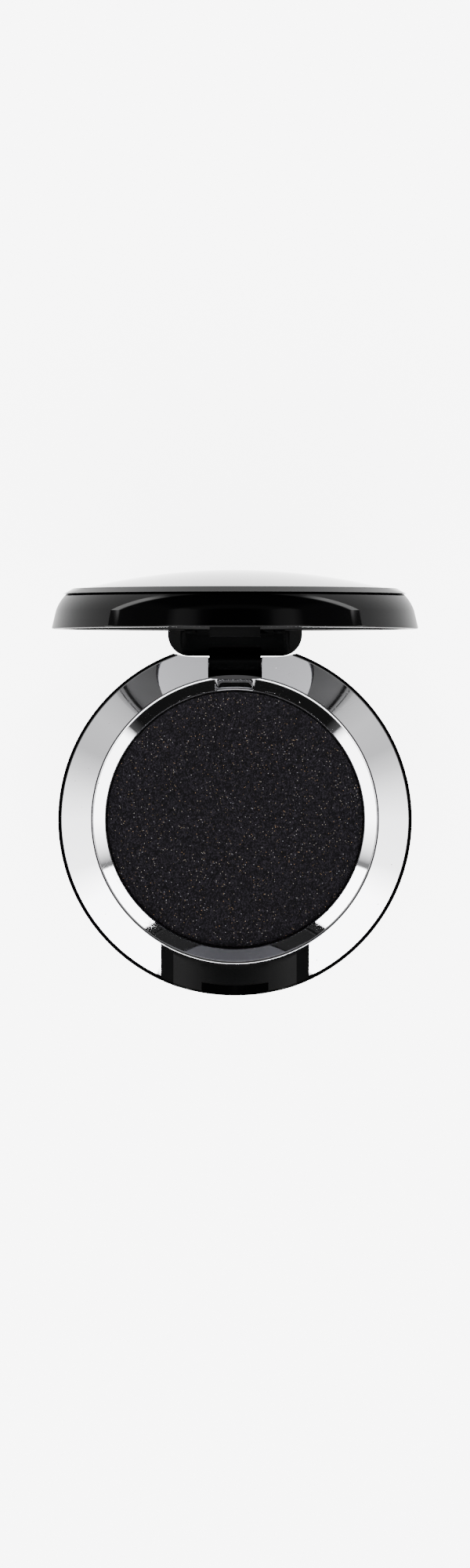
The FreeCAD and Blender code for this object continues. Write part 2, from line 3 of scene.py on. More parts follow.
import bmesh
import bpy
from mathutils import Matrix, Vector


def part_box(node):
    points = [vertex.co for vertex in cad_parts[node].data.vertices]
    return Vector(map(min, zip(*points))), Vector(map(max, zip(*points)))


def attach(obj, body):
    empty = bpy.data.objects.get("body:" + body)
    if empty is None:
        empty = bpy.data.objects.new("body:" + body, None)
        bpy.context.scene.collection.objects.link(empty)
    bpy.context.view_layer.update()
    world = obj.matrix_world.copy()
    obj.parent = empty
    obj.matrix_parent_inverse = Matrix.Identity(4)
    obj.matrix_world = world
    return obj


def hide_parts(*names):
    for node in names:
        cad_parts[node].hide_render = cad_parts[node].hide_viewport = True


# A round single-shade eyeshadow compact, standing open, in metres. +Z up, +Y towards the hinge.

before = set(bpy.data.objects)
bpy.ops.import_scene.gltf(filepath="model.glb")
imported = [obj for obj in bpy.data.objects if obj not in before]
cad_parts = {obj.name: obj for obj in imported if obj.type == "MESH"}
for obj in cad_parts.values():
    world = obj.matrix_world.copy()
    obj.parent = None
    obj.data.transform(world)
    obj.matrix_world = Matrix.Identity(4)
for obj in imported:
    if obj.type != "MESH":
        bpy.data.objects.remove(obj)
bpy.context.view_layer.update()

MM = 0.001
ROUND_STEPS = 288                     # facets round a turned piece
HUB = 0.1 * MM                        # a turned solid starts this far from its axis
SAME_PLACE = 2e-6
SMOOTH_ANGLE = math.radians(30)

SHELL_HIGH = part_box("base_shell")[1]
PAN_LOW, PAN_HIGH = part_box("metal_pan")
CAKE_LOW, CAKE_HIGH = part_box("pressed_powder")
LID_LOW, LID_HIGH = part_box("lid_shell")
PANEL_LOW, PANEL_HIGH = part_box("panel")

BASE_RADIUS = SHELL_HIGH.x
BASE_TOP = SHELL_HIGH.z
LID_RADIUS = LID_HIGH.x
LID_DEPTH = LID_HIGH.y - LID_LOW.y
LID_CENTRE = Vector((0, LID_LOW.y, (LID_LOW.z + LID_HIGH.z) / 2))

# Base
BASE_DRAFT = 0.0625
LIP_INSIDE = BASE_RADIUS - 0.25 * MM
RING_OUTSIDE = BASE_RADIUS - 0.28 * MM
RING_EDGE_TOP = BASE_TOP - 0.25 * MM
RING_SEAT = BASE_TOP - 1.0 * MM
RING_FOOT = BASE_TOP - 1.5 * MM
SHELL_INSIDE = BASE_RADIUS - 1.2 * MM
BASE_FLOOR = 1.2 * MM
FLOOR_ROUNDING = 1.6 * MM
FOOT_ROUNDING = 2.5 * MM
LABEL_RECESS_RADIUS = 11.8 * MM
LABEL_RECESS_DEPTH = 0.12 * MM
CREST_RADIUS = 16.1 * MM
CREST_TOP = BASE_TOP + 1.1 * MM
OPENING_RADIUS = 14.65 * MM
OPENING_TOP = CREST_TOP - 1.38 * MM
RING_BACK = CREST_RADIUS + 0.2 * MM
RING_POCKET = 15.1 * MM               # the ring's wall starts here, behind its lip
RING_LIP = OPENING_TOP - 0.32 * MM
RING_FOOT_INSIDE = 18.1 * MM
CHANNEL_DROP = 0.9 * MM               # from the outer slope down to the channel under it
NOTCH_HALF = 8.36 * MM
NOTCH_BACK = -10 * MM
RECESS_BACK = 18.35 * MM
RECESS_HALF = 5.2 * MM
RECESS_SWEEP = 0.21
RECESS_ROUNDING = 0.9 * MM
SLOT_HALF = 3.05 * MM
SLOT_FRONT = 15.84 * MM
SLOT_LEDGE = 7.5 * MM
RELEASE_HALF = 2.37 * MM
RELEASE_FRONT = 12 * MM
RELEASE_BACK = 15.45 * MM
RELEASE_TAPER = 0.78
RELEASE_ROUNDING = 0.55 * MM
SCOOP_RADIUS = 18.0 * MM
SCOOP_FLOOR = 6.6 * MM
PAN_WALL = 0.4 * MM
CAKE_GRAIN = 0.25 * MM
CAKE_RELIEF = 0.05 * MM

# Lid, measured from its rim plane along its own axis
PIVOT_BACK = 17.4 * MM
PIVOT_DROP = 3.95 * MM
LID_DOME = 70.0 * MM
LID_DRAFT = 0.238
LID_SHOULDER = 19.68 * MM
LID_WALL = 1.1 * MM
LID_INSIDE = LID_RADIUS - LID_WALL
LID_SHOULDER_ROUNDING = 1.8 * MM
STEP = 1.0 * MM                       # width of each step where the lid's shell meets its liner
SHELL_STEPS = (1.45 * MM, 2.35 * MM)
LINER_STEPS = (1.42 * MM, 2.32 * MM)
LINER_OUTSIDE = LID_RADIUS - 1.13 * MM
LINER_RIM = 0.1 * MM
LINER_RIM_WIDTH = 0.75 * MM
LINER_SLOPE_RADIUS = 18.55 * MM
LINER_SLOPE_TOP = 0.95 * MM
LINER_SLOPE_FOOT = 1.9 * MM
LINER_SEAT = 2.5 * MM
LINER_BACK = 3.1 * MM
TAB_HALF = 7.6 * MM
TAB_DEPTH = 2.85 * MM
TAB_FRONT = 18.45 * MM
TAB_OUTSIDE = LID_RADIUS - 0.1 * MM
TAB_INSIDE = 17 * MM
TAB_ROUNDING = 2.4 * MM
ROOT_HALF = 7 * MM
BEYOND = 30 * MM                      # clear of everything, for cutting tools
ARM_HALF = 2.93 * MM
ARM_THICK = 1.5 * MM
ARM_REACH = 2.6 * MM
ARM_RISE = math.radians(44)
BARREL_RADIUS = 1.4 * MM
BORE_RADIUS = 0.65 * MM
TONGUE_HALF = 2.8 * MM
TONGUE_TIP = -1.05 * MM


# Making ------------------------------------------------------------------------------------


def clear():
    if bpy.context.mode != "OBJECT":
        bpy.ops.object.mode_set(mode="OBJECT")
    bpy.ops.object.select_all(action="DESELECT")


def added(name):
    piece = bpy.context.object
    piece.name = name
    piece.data.name = name
    bpy.ops.object.transform_apply(location=True, rotation=True, scale=True)
    return piece


def edit(piece):
    clear()
    piece.select_set(True)
    bpy.context.view_layer.objects.active = piece
    bpy.ops.object.mode_set(mode="EDIT")
    bpy.ops.mesh.select_mode(type="EDGE")
    bpy.ops.mesh.select_all(action="DESELECT")


def done(piece):
    bpy.ops.object.mode_set(mode="OBJECT")
    return piece


def pick_edges(piece, wanted):
    """Selects the edges whose two ends both satisfy a test of their place."""
    mesh = bmesh.from_edit_mesh(piece.data)
    for edge in mesh.edges:
        edge.select_set(all(wanted(end.co) for end in edge.verts))
    bmesh.update_edit_mesh(piece.data)


def box(name, low, high):
    clear()
    low, high = Vector(low), Vector(high)
    bpy.ops.mesh.primitive_cube_add(size=1, location=(low + high) / 2, scale=high - low)
    return added(name)


def rod(name, radius, length, middle, turn=(0, 0, 0)):
    clear()
    bpy.ops.mesh.primitive_cylinder_add(
        vertices=ROUND_STEPS, radius=radius, depth=length, location=middle, rotation=turn)
    return added(name)


def turned(name, profile, hollow=False):
    """A circle extruded ring by ring along a profile of (radius, height), then closed."""
    clear()
    radius, height = profile[0]
    bpy.ops.mesh.primitive_circle_add(vertices=ROUND_STEPS, radius=radius, location=(0, 0, height))
    piece = added(name)
    edit(piece)
    bpy.ops.mesh.select_all(action="SELECT")
    for next_radius, next_height in profile[1:]:
        bpy.ops.mesh.extrude_region_move()
        bpy.ops.transform.translate(value=(0, 0, next_height - height))
        grow = next_radius / radius
        bpy.ops.transform.resize(value=(grow, grow, 1), center_override=(0, 0, next_height))
        radius, height = next_radius, next_height
    bpy.ops.mesh.select_all(action="DESELECT")
    bpy.ops.mesh.select_non_manifold(use_wire=False, use_multi_face=False, use_non_contiguous=False,
                                     use_verts=False)
    if hollow:
        bpy.ops.mesh.bridge_edge_loops()
    else:
        bpy.ops.mesh.fill_holes(sides=0)
    bpy.ops.mesh.select_all(action="SELECT")
    bpy.ops.mesh.normals_make_consistent(inside=False)
    return done(piece)


def round_ring(piece, radius, height, width, steps=5):
    """Bevels the ring of edges at a radius and a height."""
    edit(piece)

    def on_ring(place):
        return abs(place.xy.length - radius) < SAME_PLACE and abs(place.z - height) < SAME_PLACE

    pick_edges(piece, on_ring)
    bpy.ops.mesh.bevel(offset=width, segments=steps, affect="EDGES")
    return done(piece)


def combine(piece, tool, operation="DIFFERENCE"):
    """Cuts, joins or keeps what two pieces share, and takes the tool away."""
    modifier = piece.modifiers.new("combine", "BOOLEAN")
    modifier.object = tool
    modifier.operation = operation
    modifier.solver = "EXACT"
    clear()
    bpy.context.view_layer.objects.active = piece
    bpy.ops.object.modifier_apply(modifier=modifier.name)
    bpy.data.objects.remove(tool, do_unlink=True)
    return piece


def soften_cuts(piece, width):
    """A small bevel on every sharp edge, as moulding leaves."""
    modifier = piece.modifiers.new("soften", "BEVEL")
    modifier.width = width
    modifier.segments = 2
    modifier.limit_method = "ANGLE"
    modifier.angle_limit = math.radians(40)
    modifier.use_clamp_overlap = True
    clear()
    bpy.context.view_layer.objects.active = piece
    bpy.ops.object.modifier_apply(modifier=modifier.name)
    return piece


def tidy(piece):
    """Merges doubles, smooths the shading and lets large flat faces lead it."""
    edit(piece)
    bpy.ops.mesh.select_all(action="SELECT")
    bpy.ops.mesh.remove_doubles(threshold=1e-6)
    bpy.ops.mesh.dissolve_degenerate(threshold=1e-6)
    done(piece)
    bpy.ops.object.shade_smooth_by_angle(angle=SMOOTH_ANGLE)
    modifier = piece.modifiers.new("flat_faces", "WEIGHTED_NORMAL")
    modifier.keep_sharp = True
    modifier.weight = 90
    bpy.ops.object.modifier_apply(modifier=modifier.name)
    return piece


def stand_up(piece):
    """Turns a piece drawn on the closed lid's rim plane into the open lid's place."""
    clear()
    piece.select_set(True)
    bpy.context.view_layer.objects.active = piece
    piece.rotation_euler = (-math.pi / 2, 0, 0)
    piece.location = LID_CENTRE
    bpy.ops.object.transform_apply(location=True, rotation=True, scale=True)
    return piece


def swept_block(name, front, low, high):
    """A block behind a flat whose ends sweep back, with the change of direction rounded."""
    block = box(name, (-15 * MM, front, low), (15 * MM, front + 14 * MM, high))
    for side in (-1, 1):
        edit(block)
        bpy.ops.mesh.select_all(action="SELECT")
        bpy.ops.mesh.bisect(
            plane_co=(side * RECESS_HALF, front, 0), plane_no=(side * RECESS_SWEEP, -1, 0),
            use_fill=True, clear_outer=True)
        done(block)
    edit(block)
    pick_edges(block, lambda place: abs(abs(place.x) - RECESS_HALF) < 1e-6
               and abs(place.y - front) < 1e-6)
    bpy.ops.mesh.bevel(offset=RECESS_ROUNDING, segments=8, affect="EDGES")
    return done(block)


# Finishes ----------------------------------------------------------------------------------


def group_sockets(name, inputs, outputs):
    """A new shader node group with named number inputs and named outputs."""
    group = bpy.data.node_groups.new(name, "ShaderNodeTree")
    for socket, value in inputs:
        made = group.interface.new_socket(name=socket, in_out="INPUT", socket_type="NodeSocketFloat")
        made.default_value = value
    for socket, kind in outputs:
        group.interface.new_socket(name=socket, in_out="OUTPUT", socket_type=kind)
    enter = group.nodes.new("NodeGroupInput")
    leave = group.nodes.new("NodeGroupOutput")
    return group, enter, leave


def node(tree, kind, links=None, **values):
    """A node with its properties and socket values set and its inputs linked."""
    made = tree.nodes.new(kind)
    for key, value in values.items():
        setattr(made, key, value)
    for socket, source in (links or {}).items():
        if hasattr(source, "is_output"):
            tree.links.new(source, made.inputs[socket])
        else:
            made.inputs[socket].default_value = source
    return made


def handling_marks():
    """Hairline scratches and a faint haze of handling, for polished surfaces."""
    group, enter, leave = group_sockets(
        "handling_marks", [("Hair Size", 900.0), ("Haze Size", 160.0)],
        [("Scratch", "NodeSocketFloat"), ("Haze", "NodeSocketFloat")])
    place = node(group, "ShaderNodeTexCoord")
    stretched = node(group, "ShaderNodeMapping", {
        "Vector": place.outputs["Object"], "Rotation": (0.3, 0.2, 0.7), "Scale": (0.08, 1.0, 1.0)})
    crossed = node(group, "ShaderNodeMapping", {
        "Vector": place.outputs["Object"], "Rotation": (0.1, 0.4, 2.1), "Scale": (0.06, 1.0, 1.0)})
    masks = []
    for source in (stretched, crossed):
        lines = node(group, "ShaderNodeTexVoronoi", {
            "Vector": source.outputs["Vector"], "Scale": enter.outputs["Hair Size"]},
            feature="DISTANCE_TO_EDGE")
        masks.append(node(group, "ShaderNodeMapRange", {
            "Value": lines.outputs["Distance"], "From Min": 0.0, "From Max": 0.02,
            "To Min": 1.0, "To Max": 0.0}))
    both = node(group, "ShaderNodeMath", {0: masks[0].outputs[0], 1: masks[1].outputs[0]},
                operation="MAXIMUM")
    patches = node(group, "ShaderNodeTexNoise", {
        "Vector": place.outputs["Object"], "Scale": enter.outputs["Haze Size"], "Detail": 5.0})
    thin = node(group, "ShaderNodeMapRange", {
        "Value": patches.outputs["Fac"], "From Min": 0.45, "From Max": 0.7})
    kept = node(group, "ShaderNodeMath", {0: both.outputs[0], 1: thin.outputs[0]}, operation="MULTIPLY")
    group.links.new(kept.outputs[0], leave.inputs["Scratch"])
    group.links.new(patches.outputs["Fac"], leave.inputs["Haze"])
    return group


def settled_dust():
    """Sparse pale specks of dust."""
    group, enter, leave = group_sockets(
        "settled_dust", [("Speck Size", 2600.0), ("Amount", 0.06)], [("Dust", "NodeSocketFloat")])
    place = node(group, "ShaderNodeTexCoord")
    cells = node(group, "ShaderNodeTexVoronoi", {
        "Vector": place.outputs["Object"], "Scale": enter.outputs["Speck Size"]})
    spots = node(group, "ShaderNodeMapRange", {
        "Value": cells.outputs["Distance"], "From Min": 0.1, "From Max": 0.2,
        "To Min": 1.0, "To Max": 0.0})
    parts = node(group, "ShaderNodeSeparateColor", {"Color": cells.outputs["Color"]})
    chosen = node(group, "ShaderNodeMath", {
        0: parts.outputs["Red"], 1: enter.outputs["Amount"]}, operation="LESS_THAN")
    kept = node(group, "ShaderNodeMath", {0: spots.outputs[0], 1: chosen.outputs[0]},
                operation="MULTIPLY")
    group.links.new(kept.outputs[0], leave.inputs["Dust"])
    return group


def new_finish(name):
    finish = bpy.data.materials.new(name)
    finish.use_nodes = True
    tree = finish.node_tree
    return finish, tree, tree.nodes["Principled BSDF"]


def use_group(tree, group, **values):
    made = tree.nodes.new("ShaderNodeGroup")
    made.node_tree = group
    for socket, value in values.items():
        made.inputs[socket].default_value = value
    return made


def polished(name, colour, marks, dust, metal=0.0, rough=0.05, haze_rough=0.06, speck=0.05, shine=0.5):
    """A polished surface: deep gloss with faint haze, hairlines and a little dust."""
    finish, tree, shader = new_finish(name)
    worn = use_group(tree, marks)
    specks = use_group(tree, dust, Amount=speck)
    shader.inputs["Metallic"].default_value = metal
    shader.inputs["Specular IOR Level"].default_value = shine
    pale = (0.55, 0.54, 0.52, 1)
    tint = node(tree, "ShaderNodeMix", data_type="RGBA")
    tree.links.new(specks.outputs["Dust"], tint.inputs["Factor"])
    tint.inputs["A"].default_value = (*colour, 1)
    tint.inputs["B"].default_value = pale
    dull = node(tree, "ShaderNodeMapRange", {
        "Value": worn.outputs["Haze"], "From Min": 0.35, "From Max": 0.75,
        "To Min": rough, "To Max": rough + haze_rough})
    rougher = node(tree, "ShaderNodeMath", {0: dull.outputs[0], 1: specks.outputs["Dust"]},
                   operation="ADD", use_clamp=True)
    bump = node(tree, "ShaderNodeBump", {
        "Height": worn.outputs["Scratch"], "Strength": 0.04, "Distance": 0.00002}, invert=True)
    tree.links.new(tint.outputs["Result"], shader.inputs["Base Color"])
    tree.links.new(rougher.outputs[0], shader.inputs["Roughness"])
    tree.links.new(bump.outputs["Normal"], shader.inputs["Normal"])
    return finish


def pressed_powder_finish():
    """Charcoal powder with a violet cast, fine grain and gold, copper and silver sparkle."""
    finish, tree, shader = new_finish("charcoal_sparkle_powder")
    place = node(tree, "ShaderNodeTexCoord")
    grain = node(tree, "ShaderNodeTexVoronoi", {"Vector": place.outputs["Object"], "Scale": 9000.0})
    shade = node(tree, "ShaderNodeSeparateColor", {"Color": grain.outputs["Color"]})
    grains = node(tree, "ShaderNodeValToRGB", {"Fac": shade.outputs["Green"]})
    ramp = grains.color_ramp
    ramp.elements[0].color = (0.0002, 0.00015, 0.0003, 1)
    ramp.elements[1].color = (0.021, 0.0185, 0.024, 1)
    middle = ramp.elements.new(0.6)
    middle.color = (0.0048, 0.004, 0.006, 1)
    flakes = node(tree, "ShaderNodeTexVoronoi", {"Vector": place.outputs["Object"], "Scale": 8500.0})
    random = node(tree, "ShaderNodeSeparateColor", {"Color": flakes.outputs["Color"]})
    chosen = node(tree, "ShaderNodeMath", {0: random.outputs["Red"], 1: 0.96},
                  operation="GREATER_THAN")
    spot = node(tree, "ShaderNodeMapRange", {
        "Value": flakes.outputs["Distance"], "From Min": 0.25, "From Max": 0.5,
        "To Min": 1.0, "To Max": 0.0})
    bright = node(tree, "ShaderNodeMath", {0: chosen.outputs[0], 1: spot.outputs[0]},
                  operation="MULTIPLY")
    metals = node(tree, "ShaderNodeValToRGB", {"Fac": random.outputs["Blue"]})
    metals.color_ramp.elements[0].color = (0.24, 0.145, 0.08, 1)
    metals.color_ramp.elements[1].color = (0.21, 0.215, 0.245, 1)
    gold = metals.color_ramp.elements.new(0.45)
    gold.color = (0.33, 0.26, 0.145, 1)
    tint = node(tree, "ShaderNodeMix", data_type="RGBA")
    tree.links.new(bright.outputs[0], tint.inputs["Factor"])
    tree.links.new(grains.outputs["Color"], tint.inputs["A"])
    tree.links.new(metals.outputs["Color"], tint.inputs["B"])
    tree.links.new(tint.outputs["Result"], shader.inputs["Base Color"])
    gloss = node(tree, "ShaderNodeMapRange", {
        "Value": bright.outputs[0], "To Min": 0.75, "To Max": 0.35})
    tree.links.new(gloss.outputs[0], shader.inputs["Roughness"])
    shader.inputs["Specular IOR Level"].default_value = 0.1
    bump = node(tree, "ShaderNodeBump", {
        "Height": grain.outputs["Distance"], "Strength": 0.6, "Distance": 0.00004})
    tree.links.new(bump.outputs["Normal"], shader.inputs["Normal"])
    return finish


def brushed(name, colour, scale, rough):
    """Turned or drawn metal: fine lines one way, with a soft change of tone."""
    finish, tree, shader = new_finish(name)
    place = node(tree, "ShaderNodeTexCoord")
    lines = node(tree, "ShaderNodeMapping", {"Vector": place.outputs["Object"], "Scale": scale})
    streaks = node(tree, "ShaderNodeTexNoise", {
        "Vector": lines.outputs["Vector"], "Scale": 1.0, "Detail": 6.0})
    tone = node(tree, "ShaderNodeMapRange", {
        "Value": streaks.outputs["Fac"], "To Min": rough * 0.6, "To Max": rough * 1.5})
    tree.links.new(tone.outputs[0], shader.inputs["Roughness"])
    shade = node(tree, "ShaderNodeMix", data_type="RGBA")
    tree.links.new(streaks.outputs["Fac"], shade.inputs["Factor"])
    shade.inputs["A"].default_value = (*(0.8 * part for part in colour), 1)
    shade.inputs["B"].default_value = (*colour, 1)
    tree.links.new(shade.outputs["Result"], shader.inputs["Base Color"])
    bump = node(tree, "ShaderNodeBump", {
        "Height": streaks.outputs["Fac"], "Strength": 0.15, "Distance": 0.00001})
    tree.links.new(bump.outputs["Normal"], shader.inputs["Normal"])
    shader.inputs["Metallic"].default_value = 1.0
    return finish


def soft_sheet(name, colour, grain, rough):
    """Paper, film or foam: a fibrous mottle with a fine tooth."""
    finish, tree, shader = new_finish(name)
    place = node(tree, "ShaderNodeTexCoord")
    fibre = node(tree, "ShaderNodeTexNoise", {
        "Vector": place.outputs["Object"], "Scale": grain, "Detail": 8.0, "Roughness": 0.7})
    shade = node(tree, "ShaderNodeMix", data_type="RGBA")
    tree.links.new(fibre.outputs["Fac"], shade.inputs["Factor"])
    shade.inputs["A"].default_value = (*(0.82 * part for part in colour), 1)
    shade.inputs["B"].default_value = (*colour, 1)
    tree.links.new(shade.outputs["Result"], shader.inputs["Base Color"])
    bump = node(tree, "ShaderNodeBump", {
        "Height": fibre.outputs["Fac"], "Strength": 0.3, "Distance": 0.00003})
    tree.links.new(bump.outputs["Normal"], shader.inputs["Normal"])
    shader.inputs["Roughness"].default_value = rough
    return finish


def give(piece, finish):
    piece.data.materials.clear()
    piece.data.materials.append(finish)


# Pieces ------------------------------------------------------------------------------------


def make_bright_ring():
    slope_drop = CREST_TOP - RING_EDGE_TOP
    back_height = CREST_TOP - slope_drop * (RING_BACK - CREST_RADIUS) / (RING_OUTSIDE - CREST_RADIUS)
    ring = turned("bright_ring_polished", [
        (OPENING_RADIUS, RING_LIP),
        (OPENING_RADIUS, OPENING_TOP),
        (CREST_RADIUS, CREST_TOP),
        (RING_OUTSIDE, RING_EDGE_TOP),
        (RING_OUTSIDE, RING_SEAT),
        (SHELL_INSIDE, RING_SEAT),
        (SHELL_INSIDE, RING_FOOT),
        (RING_FOOT_INSIDE, RING_FOOT),
        (RING_FOOT_INSIDE, RING_SEAT),
        (RING_BACK, back_height - CHANNEL_DROP),
        (RING_BACK, RING_FOOT),
        (RING_POCKET, RING_FOOT),
        (RING_POCKET, RING_LIP),
    ], hollow=True)
    round_ring(ring, CREST_RADIUS, CREST_TOP, 0.2 * MM, steps=9)
    round_ring(ring, RING_OUTSIDE, RING_EDGE_TOP, 0.07 * MM, steps=3)
    round_ring(ring, OPENING_RADIUS, OPENING_TOP, 0.08 * MM, steps=4)
    above = 2 * BASE_TOP
    notch = box("thumb_notch", (-NOTCH_HALF, -BASE_RADIUS * 1.1, 0), (NOTCH_HALF, NOTCH_BACK, above))
    core = rod("notch_core", RING_BACK, 4 * BASE_TOP, (0, 0, BASE_TOP))
    combine(ring, combine(notch, core))
    combine(ring, swept_block("hinge_recess", RECESS_BACK, -BASE_TOP, above))
    combine(ring, box("hinge_slot", (-SLOT_HALF, RING_BACK, 0), (SLOT_HALF, 25 * MM, above)))
    combine(ring, box("slot_step", (-SLOT_HALF, SLOT_FRONT, SLOT_LEDGE), (SLOT_HALF, 20 * MM, above)))
    combine(ring, make_release_notch(above))
    return tidy(soften_cuts(ring, 0.05 * MM))


def make_release_notch(above):
    """The cutter for the notch that frees the pan, narrower and rounded at its back."""
    release = box("release_notch", (-RELEASE_HALF, RELEASE_FRONT, 0), (RELEASE_HALF, RELEASE_BACK, above))
    edit(release)
    pick_edges(release, lambda place: place.y > 15 * MM)
    bpy.ops.transform.resize(value=(RELEASE_TAPER, 1, 1), center_override=(0, RELEASE_BACK, 0))
    pick_edges(release, lambda place: place.y > 15 * MM and place.x > 0)
    bpy.ops.mesh.bevel(offset=RELEASE_ROUNDING, segments=6, affect="EDGES")
    pick_edges(release, lambda place: place.y > 15.3 * MM and place.x < -1.5 * MM)
    bpy.ops.mesh.bevel(offset=RELEASE_ROUNDING, segments=6, affect="EDGES")
    return done(release)


def make_base_shell():
    foot_radius = BASE_RADIUS - BASE_DRAFT * BASE_TOP
    shell = turned("base_shell_polished", [
        (HUB, LABEL_RECESS_DEPTH),
        (LABEL_RECESS_RADIUS, LABEL_RECESS_DEPTH),
        (LABEL_RECESS_RADIUS, 0),
        (foot_radius, 0),
        (BASE_RADIUS, BASE_TOP),
        (LIP_INSIDE, BASE_TOP),
        (LIP_INSIDE, RING_SEAT),
        (SHELL_INSIDE, RING_SEAT),
        (SHELL_INSIDE, BASE_FLOOR),
        (HUB, BASE_FLOOR),
    ])
    round_ring(shell, foot_radius, 0, FOOT_ROUNDING, steps=16)
    round_ring(shell, SHELL_INSIDE, BASE_FLOOR, FLOOR_ROUNDING, steps=8)
    round_ring(shell, BASE_RADIUS, BASE_TOP, 0.08 * MM, steps=3)
    combine(shell, swept_block("hinge_recess", RECESS_BACK, -BASE_TOP, 2 * BASE_TOP))
    combine(shell, thumb_scoop())
    return tidy(soften_cuts(shell, 0.06 * MM))


def thumb_scoop():
    middle = (0, -BASE_RADIUS, SCOOP_FLOOR + SCOOP_RADIUS)
    return rod("thumb_scoop", SCOOP_RADIUS, BASE_RADIUS * 1.2, middle, (math.pi / 2, 0, 0))


def make_metal_pan():
    outside = PAN_HIGH.x
    inside = outside - PAN_WALL
    pan = turned("metal_pan_turned", [
        (HUB, PAN_LOW.z),
        (outside, PAN_LOW.z),
        (outside, PAN_HIGH.z),
        (inside, PAN_HIGH.z),
        (inside, PAN_LOW.z + PAN_WALL),
        (HUB, PAN_LOW.z + PAN_WALL),
    ])
    round_ring(pan, outside, PAN_LOW.z, 0.6 * MM, steps=6)
    round_ring(pan, outside, PAN_HIGH.z, 0.12 * MM, steps=3)
    round_ring(pan, inside, PAN_HIGH.z, 0.12 * MM, steps=3)
    return tidy(pan)


def make_powder():
    """The pressed cake: a fine grid of rings, so that its face can carry real grain."""
    outside = CAKE_HIGH.x
    top = CAKE_HIGH.z
    rings = 90
    face = [(HUB + (outside - HUB) * step / rings, top) for step in range(rings + 1)]
    cake = turned("pressed_powder_grained", face + [(outside, CAKE_LOW.z), (HUB, CAKE_LOW.z)])
    round_ring(cake, outside, top, 0.14 * MM, steps=3)
    grain = bpy.data.textures.new("powder_grain", "CLOUDS")
    grain.noise_scale = CAKE_GRAIN
    grain.noise_depth = 3
    raised = cake.modifiers.new("grain", "DISPLACE")
    raised.texture = grain
    raised.texture_coords = "LOCAL"
    raised.direction = "Z"
    raised.mid_level = 1.0
    raised.strength = CAKE_RELIEF
    top_group = cake.vertex_groups.new(name="top")
    top_group.add([v.index for v in cake.data.vertices if v.co.z > top - 0.01 * MM], 1.0, "REPLACE")
    raised.vertex_group = "top"
    clear()
    bpy.context.view_layer.objects.active = cake
    bpy.ops.object.modifier_apply(modifier=raised.name)
    return tidy(cake)


def dome_points(depth, radius, edge_radius, steps):
    """Points from the edge of a spherical cap to its top."""
    centre = depth - radius
    points = []
    for step in range(steps + 1):
        across = edge_radius * (1 - step / steps)
        points.append((max(across, HUB), centre + math.sqrt(radius ** 2 - across ** 2)))
    return points


def make_lid_shell():
    outer = dome_points(LID_DEPTH, LID_DOME, LID_SHOULDER, 40)
    shoulder_top = (LID_RADIUS - LID_SHOULDER) / LID_DRAFT
    outer[0] = (LID_SHOULDER, shoulder_top)
    inner = dome_points(LID_DEPTH - LID_WALL, LID_DOME - LID_WALL, LID_INSIDE - 2 * STEP, 12)
    first_step, second_step = SHELL_STEPS
    shell = turned("lid_shell_polished", [
        *reversed(inner),
        (LID_INSIDE - 2 * STEP, second_step),
        (LID_INSIDE - STEP, second_step),
        (LID_INSIDE - STEP, first_step),
        (LID_INSIDE, first_step),
        (LID_INSIDE, 0),
        (LID_RADIUS, 0),
        *outer,
    ])
    round_ring(shell, LID_SHOULDER, shoulder_top, LID_SHOULDER_ROUNDING, steps=24)
    round_ring(shell, LID_RADIUS, 0, 0.2 * MM, steps=5)
    round_ring(shell, LID_INSIDE, 0, 0.06 * MM, steps=3)
    return tidy(stand_up(shell))


def make_hinge_tab():
    tab = swept_block("hinge_tab", TAB_FRONT, -TAB_DEPTH, 0)
    width = box("tab_width", (-TAB_HALF, TAB_INSIDE, -9 * MM), (TAB_HALF, BEYOND, 9 * MM))
    combine(tab, width, "INTERSECT")
    outline = box("tab_outline", (-TAB_HALF, TAB_INSIDE, -TAB_DEPTH), (TAB_HALF, BEYOND, 5 * MM))
    edit(outline)
    mesh = bmesh.from_edit_mesh(outline.data)
    for edge in mesh.edges:
        first, last = (end.co for end in edge.verts)
        edge.select_set(abs(first.x - last.x) < SAME_PLACE and first.z < 0 and last.z < 0)
    bpy.ops.mesh.bevel(offset=TAB_ROUNDING, segments=16, affect="EDGES")
    done(outline)
    combine(tab, outline, "INTERSECT")
    combine(tab, rod("tab_outside", TAB_OUTSIDE, 20 * MM, (0, 0, 0)), "INTERSECT")
    root = swept_block("tab_root", TAB_FRONT, -0.6 * MM, 0.4 * MM)
    width = box("root_width", (-ROOT_HALF, TAB_INSIDE, -9 * MM), (ROOT_HALF, BEYOND, 9 * MM))
    combine(root, width, "INTERSECT")
    combine(root, rod("root_outside", LINER_OUTSIDE, 20 * MM, (0, 0, 0)), "INTERSECT")
    return combine(tab, root, "UNION")


